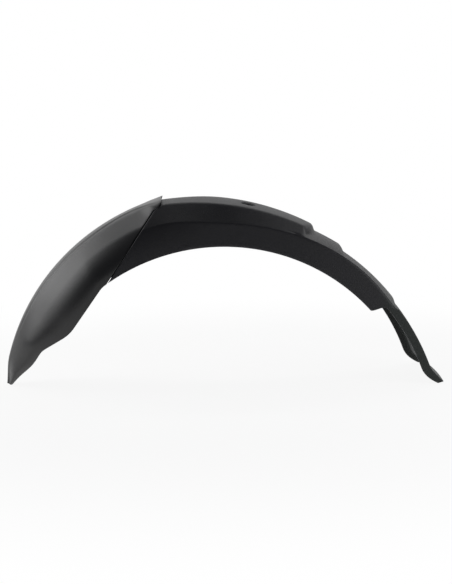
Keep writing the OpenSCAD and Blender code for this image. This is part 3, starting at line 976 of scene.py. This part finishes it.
class MUDGUARD_OT_rear_mudguard(bpy.types.Operator):
    """Build the grained rear mudguard with its tongue, bolt seats and flap"""

    bl_idname = "mudguard.rear_mudguard"
    bl_label = "Rear mudguard"

    def execute(self, context):
        outer, inner = (Sheet(body_contour, t, -46, 78) for t in (0.0, WALL))
        tongue_out, tongue_in = (Sheet(tongue_contour, t, -52, -2) for t in (0.0, WALL))
        loft = Loft()

        # The tongue, from its free end to the joint
        for inset, back in reversed(end_insets(WALL)):
            plane = joint_station(-TONGUE_LEN + EDGE_ROUND - back)
            loft.add(plane, tongue_out, tongue_in, EDGE_ROUND / WALL - inset)
        for shift in np.linspace(-TONGUE_LEN + 3, 0, 10):
            loft.add(joint_station(shift), tongue_out, tongue_in)

        # The joggle: the outer face steps out first, then the inner one
        for inset, back in end_insets(WALL):
            plane = joint_station(back)
            body = mix(outer.cut(plane), inner.cut(plane), inset)
            loft.close(body, tongue_in.cut(plane))
        loft.add(joint_station(WALL), outer, tongue_in)
        loft.add(joint_station(WALL + 0.05), outer, inner)

        # The body and the flap, to the rounded end of the lip
        for a in ring_angles():
            loft.add(body_station(a), outer, inner, self.lip(a))
        for inset, back in reversed(end_insets(WALL)):
            plane = body_station(LIP_ANGLE + 0.01 - degrees_for(back, FLAP_R))
            loft.add(plane, outer, inner, self.lip(LIP_ANGLE) + inset)
        obj = loft.mesh("rear_mudguard_moulding", stand)
        self.add_fixings(obj)
        material = grained_black(context.scene.mudguard_looks)
        finish_piece(obj, material, ["rear_mudguard"])
        return {"FINISHED"}

    @staticmethod
    def lip(a):
        """The lip thins a little towards its end."""
        return 0.1 * float(ease(a, LIP_ANGLE - 2.4, LIP_ANGLE))

    @staticmethod
    def add_fixings(obj):
        """Adds the bolt seats and screw pads, then cuts the recesses and holes."""
        floor, edge, bolt = -RECESS_DEPTH, RECESS_D / 2, BOLT_HOLE / 2
        bottom, seat = floor - SEAT_T, edge + 2.5
        under, pad, bore = -WALL - PAD_T, (WASHER_D + 1.6) / 2, (SCREW_D + 0.6) / 2
        seat_form, spot = rod(seat, bottom, -WALL / 2), rod(seat + 1.5, bottom - 20, bottom)
        pad_form = [(0, under), (pad - 0.3, under), (pad, under + 0.3), (pad, -WALL / 2),
                    (0, -WALL / 2)]
        recess = [(0, floor), (edge - 0.6, floor), (edge, floor + 0.5), (edge, 9), (0, 9)]
        lip = [(0, -0.9), (edge - 0.3, -0.9), (edge + 0.2, -0.55), (edge + 1.0, -0.12),
               (edge + 2.2, 0.25), (edge + 2.2, 3), (0, 3)]
        hole = [(0, -20), (bolt, -20), (bolt, floor - 0.4), (bolt + 0.5, floor + 0.1),
                (0, floor + 0.1)]
        added, cut = [], []
        for side in (-1, 1):
            upright = bolt_top(side)
            tilted = upright @ Matrix.Rotation(BOLT_SLOPE, 4, "Y")
            added.append(lathe("seat", seat_form, matrix=tilted))
            cut.append(lathe("recess", recess, 64, upright))
            cut.append(lathe("lip", lip, 64, tilted))
            cut.append(lathe("hole", hole, 40, upright))
            cut.append(lathe("spot", spot, 40, upright))
            for place in (upper_place(side), lower_place(side)):
                added.append(lathe("pad", pad_form, 40, place))
                cut.append(lathe("bore", rod(bore, -8, 4), 24, place))
        combine(obj, added, "UNION")
        combine(obj, cut, "DIFFERENCE")


class MUDGUARD_OT_front_cover(bpy.types.Operator):
    """Build the painted front cover from its beak to the slanted joint"""

    bl_idname = "mudguard.front_cover"
    bl_label = "Front cover"
    rings = 120

    def execute(self, context):
        outer, inner = (Sheet(cover_contour, t, BEAK_ANGLE - 0.4, -2) for t in (0.0, COVER_WALL))
        loft = Loft()
        rear = joint_station(-JOINT_GAP)
        low_end = math.degrees(math.atan2(rear[0][0], rear[0][1]))
        spread_by = JOINT_TOP - degrees_for(JOINT_GAP, JOINT_R) - low_end
        last = 1 - 2.2 / (ARCH_R * math.radians(low_end - BEAK_ANGLE))
        for s in np.linspace(0, 1, self.rings) * last:
            low = mix(BEAK_ANGLE, low_end, s)
            high = low + spread_by * ease(s, 0.3, 1)
            plane = station(polar(low, cover_edge(low)), polar(high, cover_crown(high)))
            loft.add(plane, outer, inner)
        for inset, back in reversed(end_insets(COVER_WALL)):
            loft.add(joint_station(-JOINT_GAP - back), outer, inner, inset)
        obj = loft.mesh("front_cover_moulding", stand)
        self.add_bosses(obj)
        material = painted_black(context.scene.mudguard_looks)
        finish_piece(obj, material, ["front_cover"])
        return {"FINISHED"}

    @staticmethod
    def add_bosses(obj):
        """Adds the four bosses that reach in to the tongue, with pilot holes."""
        r, bore = BOSS_D / 2, (SCREW_D + 0.1) / 2
        added, cut = [], []
        for side in (-1, 1):
            for place, depth in ((upper_place(side), TONGUE_DROP), (lower_place(side), TONGUE_IN)):
                top, reach = depth - COVER_WALL * 0.6, depth - COVER_WALL - 1
                boss = [(0, 0.15), (r - 0.3, 0.15), (r, 0.45), (r, top), (0, top)]
                added.append(lathe("boss", boss, 40, place))
                cut.append(lathe("pilot", rod(bore, -1, reach), 24, place))
        combine(obj, added, "UNION")
        combine(obj, cut, "DIFFERENCE")


def instancing_tree(name):
    """Geometry nodes that set one fastener at every point, each with its own turn."""
    tree = bpy.data.node_groups.new(name, "GeometryNodeTree")
    face = tree.interface
    for title, kind in (("Places", "Geometry"), ("Fastener", "Object"), ("Size", "Float"),
                        ("Material", "Material")):
        face.new_socket(title, in_out="INPUT", socket_type="NodeSocket" + kind)
    face.new_socket("Fasteners", in_out="OUTPUT", socket_type="NodeSocketGeometry")
    add = tree.nodes.new
    start, end = add("NodeGroupInput"), add("NodeGroupOutput")
    info, turn = add("GeometryNodeObjectInfo"), add("GeometryNodeInputNamedAttribute")
    turn.data_type = "FLOAT_VECTOR"
    turn.inputs["Name"].default_value = "turn"
    put, real = add("GeometryNodeInstanceOnPoints"), add("GeometryNodeRealizeInstances")
    paint = add("GeometryNodeSetMaterial")
    for source, out, target, into in (
            (start, "Fastener", info, "Object"), (start, "Places", put, "Points"),
            (info, "Geometry", put, "Instance"), (turn, "Attribute", put, "Rotation"),
            (start, "Size", put, "Scale"), (put, "Instances", real, "Geometry"),
            (real, "Geometry", paint, "Geometry"), (start, "Material", paint, "Material"),
            (paint, "Geometry", end, "Fasteners")):
        tree.links.new(source.outputs[out], target.inputs[into])
    return tree


def set_out(name, fastener, places, material):
    """A plain mesh of one fastener set at every place, by way of the geometry nodes."""
    mesh = bpy.data.meshes.new(name + "_places")
    mesh.from_pydata([tuple(p.translation) for p in places], [], [])
    turn = mesh.attributes.new("turn", "FLOAT_VECTOR", "POINT")
    turn.data.foreach_set("vector", [c for p in places for c in p.to_euler("XYZ")])
    carrier = new_object(name + "_carrier", mesh)
    mod = carrier.modifiers.new("fasteners", "NODES")
    tree = bpy.data.node_groups.get("set_fasteners") or instancing_tree("set_fasteners")
    mod.node_group = tree
    inputs = [item for item in tree.interface.items_tree if item.in_out == "INPUT"]
    ids = {item.name: item.identifier for item in inputs}
    mod[ids["Fastener"]] = fastener
    mod[ids["Size"]] = 1.0
    mod[ids["Material"]] = material
    graph = bpy.context.evaluated_depsgraph_get()
    result = bpy.data.meshes.new_from_object(carrier.evaluated_get(graph))
    carrier.modifiers.clear()
    bpy.data.objects.remove(carrier)
    bpy.data.objects.remove(fastener)
    return new_object(name, result)


# Play at each screw head
SLIM = 0.15


def screw_body(reach):
    """A pan head screw with a cross recess and a turned thread, standing on Z."""
    under = WALL + PAD_T + WASHER_T + SLIM * 2 / 3
    end = under + reach
    h, r, core, crest = HEAD_D * 0.32, HEAD_D / 2, SCREW_D / 2 - 0.42, SCREW_D / 2 - 0.02
    form = [(0, -h), (r * 0.35, -h), (r * 0.62, -h * 0.95), (r * 0.84, -h * 0.78),
            (r * 0.96, -h * 0.5), (r, -h * 0.2), (r, -0.12), (r - 0.12, 0),
            (SCREW_D / 2 - 0.05, 0.0)]
    pitch, z = 1.3, 0.3
    while z < end - 1.8:
        form += [(core, z), (core, z + 0.5), (crest, z + 0.75)]
        z += pitch
    form += [(SCREW_D / 2 - 0.45, end - 1.3), (0.5, end - 0.05), (0, end - 0.05)]
    obj = lathe("screw", form, 32)
    for turn in (0, math.pi / 2):
        bm = bmesh.new()
        bmesh.ops.create_cube(bm, size=1.0)
        bmesh.ops.scale(bm, vec=(HEAD_D * 0.56 * MM, 0.95 * MM, 2.2 * MM), verts=bm.verts)
        bmesh.ops.translate(bm, vec=(0, 0, -h * MM), verts=bm.verts)
        spin = Matrix.Rotation(turn, 3, "Z")
        bmesh.ops.rotate(bm, cent=(0, 0, 0), matrix=spin, verts=bm.verts)
        combine(obj, [new_object("slot", new_mesh("slot", bm))], "DIFFERENCE")
    obj.data.transform(Matrix.Translation((0, 0, -under * MM)))
    return obj


def washer_body():
    """A flat washer with softened outer edges, under the head of a screw."""
    bore, r = (SCREW_D + 0.5) / 2, WASHER_D / 2
    z = -WALL - PAD_T - WASHER_T - SLIM / 3
    top = z + WASHER_T
    form = [(bore, z), (r - 0.15, z), (r, z + 0.15), (r, top - 0.05), (r - 0.05, top), (bore, top)]
    return lathe("washer", form, 40, bored=True)


class MUDGUARD_OT_fasteners(bpy.types.Operator):
    """Set the four cover screws and their washers in place"""

    bl_idname = "mudguard.fasteners"
    bl_label = "Screws and washers"

    def execute(self, context):
        steel = plated_steel(context.scene.mudguard_looks)
        rows = {"upper": (upper_place, TONGUE_DROP - COVER_WALL - 2.5),
                "lower": (lower_place, TONGUE_IN - COVER_WALL - 0.9)}
        for row, (place, reach) in rows.items():
            places = [place(side) for side in (-1, 1)]
            for kind in ("screw", "washer"):
                body = screw_body(reach) if kind == "screw" else washer_body()
                obj = set_out(f"{row}_{kind}s", body, places, steel)
                nodes = [f"{row}_left_{kind}", f"{row}_right_{kind}"]
                finish_piece(obj, steel, nodes, 40)
        return {"FINISHED"}


# Camera, as worked out from the photograph: degrees, millimetres and pixels
CAMERA_AZIMUTH = -1.7
CAMERA_ELEVATION = 7.5
CAMERA_DISTANCE = 1578.0
FOCAL_PIXELS = 1308.7
IMAGE_WIDTH = 452
AXLE_IN_VIEW = (-4.8, 0.0, -169.9)
SENSOR = 36.0

# The paper lies this far under the part, in metres, and keeps this share of its shadows
PAPER_BELOW = 0.0004
SHADOW_KEPT = 0.09


class MUDGUARD_OT_stage(bpy.types.Operator):
    """Add the paper floor and backdrop, the softboxes, the room and the camera"""

    bl_idname = "mudguard.stage"
    bl_label = "Studio and camera"

    def execute(self, context):
        looks = context.scene.mudguard_studio
        self.sweep(looks)
        self.lights(looks)
        self.room(looks)
        self.camera(context)
        context.scene.view_settings.view_transform = "Standard"
        return {"FINISHED"}

    @staticmethod
    def sweep(looks):
        """One sheet of paper that runs from the floor up behind the part."""
        depth, height, width, bend = 2.2, 2.6, 6.0, 0.6
        line = [(-3.0, 0.0)]
        line += [(depth - bend + bend * math.sin(g), bend - bend * math.cos(g))
                 for g in np.linspace(0, math.pi / 2, 12)]
        line += [(depth, height)]
        mesh = bpy.data.meshes.new("paper_sweep")
        points = [(x, y, z - PAPER_BELOW) for y, z in line for x in (-width / 2, width / 2)]
        faces = [(2 * i, 2 * i + 1, 2 * i + 3, 2 * i + 2) for i in range(len(line) - 1)]
        mesh.from_pydata(points, [], faces)
        mesh.shade_smooth()
        obj = new_object("paper_sweep", mesh)
        mesh.materials.append(pale_floor(looks))

    @staticmethod
    def softbox(name, where, target, size, power):
        data = bpy.data.lights.new(name, "AREA")
        data.shape = "RECTANGLE"
        data.size, data.size_y = size
        data.energy = power
        obj = new_object(name, data)
        obj.location = where
        obj.rotation_euler = (Vector(target) - Vector(where)).to_track_quat("-Z", "Y").to_euler()

    def lights(self, looks):
        beak, flap, paper = (-0.17, 0, 0.12), (0.05, 0, 0.12), (0.0, 1.6, 0.3)
        small, middling, wide = (0.25, 0.25), (0.6, 0.6), (2.4, 0.6)
        self.softbox("paper_softbox", (0.0, 0.9, 1.6), paper, wide, looks.top_power)
        self.softbox("beak_softbox", (-0.95, 0.28, 0.61), beak, middling, looks.front_power)
        self.softbox("beak_side_softbox", (-0.59, 0.0, 0.25), beak, small, looks.side_power)
        self.softbox("rear_softbox", (0.51, -0.29, 0.25), flap, small, looks.rear_power)

    @staticmethod
    def room(looks):
        """White to the camera, and a dim blue-white light to all else."""
        f = Finish("room", bpy.data.worlds)
        seen = f.node("LightPath", output="Is Camera Ray")
        white = f.node("Background", sockets={"Color": (1, 1, 1, 1)})
        bluish = {"Color": (0.9, 0.92, 1.0, 1), "Strength": looks.world_level}
        dim = f.node("Background", sockets=bluish)
        mixed = f.node("MixShader", sockets={0: seen, 1: dim, 2: white})
        bpy.context.scene.world = f.shown(mixed, "ShaderNodeOutputWorld")

    @staticmethod
    def camera(context):
        az, el = math.radians(CAMERA_AZIMUTH), math.radians(CAMERA_ELEVATION)
        back = np.array([math.sin(az) * math.cos(el), -math.cos(az) * math.cos(el), math.sin(el)])
        right = np.array([math.cos(az), math.sin(az), 0.0])
        up = np.cross(back, right)
        origin = CAMERA_DISTANCE * back - np.array(AXLE_IN_VIEW)
        data = bpy.data.cameras.new("camera")
        data.sensor_fit = "HORIZONTAL"
        data.sensor_width = SENSOR
        data.lens = FOCAL_PIXELS * SENSOR / IMAGE_WIDTH
        obj = new_object("camera", data)
        obj.matrix_world = placed((right, up, back), origin)
        context.scene.camera = obj


class MUDGUARD_PT_panel(bpy.types.Panel):
    """Lists the pieces and the looks in the sidebar"""

    bl_idname = "MUDGUARD_PT_panel"
    bl_label = "Scooter mudguard"
    bl_space_type = "VIEW_3D"
    bl_region_type = "UI"
    bl_category = "Mudguard"

    def draw(self, context):
        layout = self.layout
        for operator in OPERATORS:
            layout.operator(operator.bl_idname)
        for group in (context.scene.mudguard_looks, context.scene.mudguard_studio):
            column = layout.column()
            for name in group.__annotations__:
                column.prop(group, name)


OPERATORS = (MUDGUARD_OT_rear_mudguard, MUDGUARD_OT_front_cover, MUDGUARD_OT_fasteners,
             MUDGUARD_OT_stage)
CLASSES = (MudguardLooks, StudioLooks, *OPERATORS, MUDGUARD_PT_panel)


def register():
    for cls in CLASSES:
        bpy.utils.register_class(cls)
    bpy.types.Scene.mudguard_looks = PointerProperty(type=MudguardLooks)
    bpy.types.Scene.mudguard_studio = PointerProperty(type=StudioLooks)


def unregister():
    del bpy.types.Scene.mudguard_studio
    del bpy.types.Scene.mudguard_looks
    for cls in reversed(CLASSES):
        bpy.utils.unregister_class(cls)


def main():
    register()
    bpy.ops.mudguard.rear_mudguard()
    bpy.ops.mudguard.front_cover()
    bpy.ops.mudguard.fasteners()
    bpy.ops.mudguard.stage()


if __name__ == "__main__":
    main()
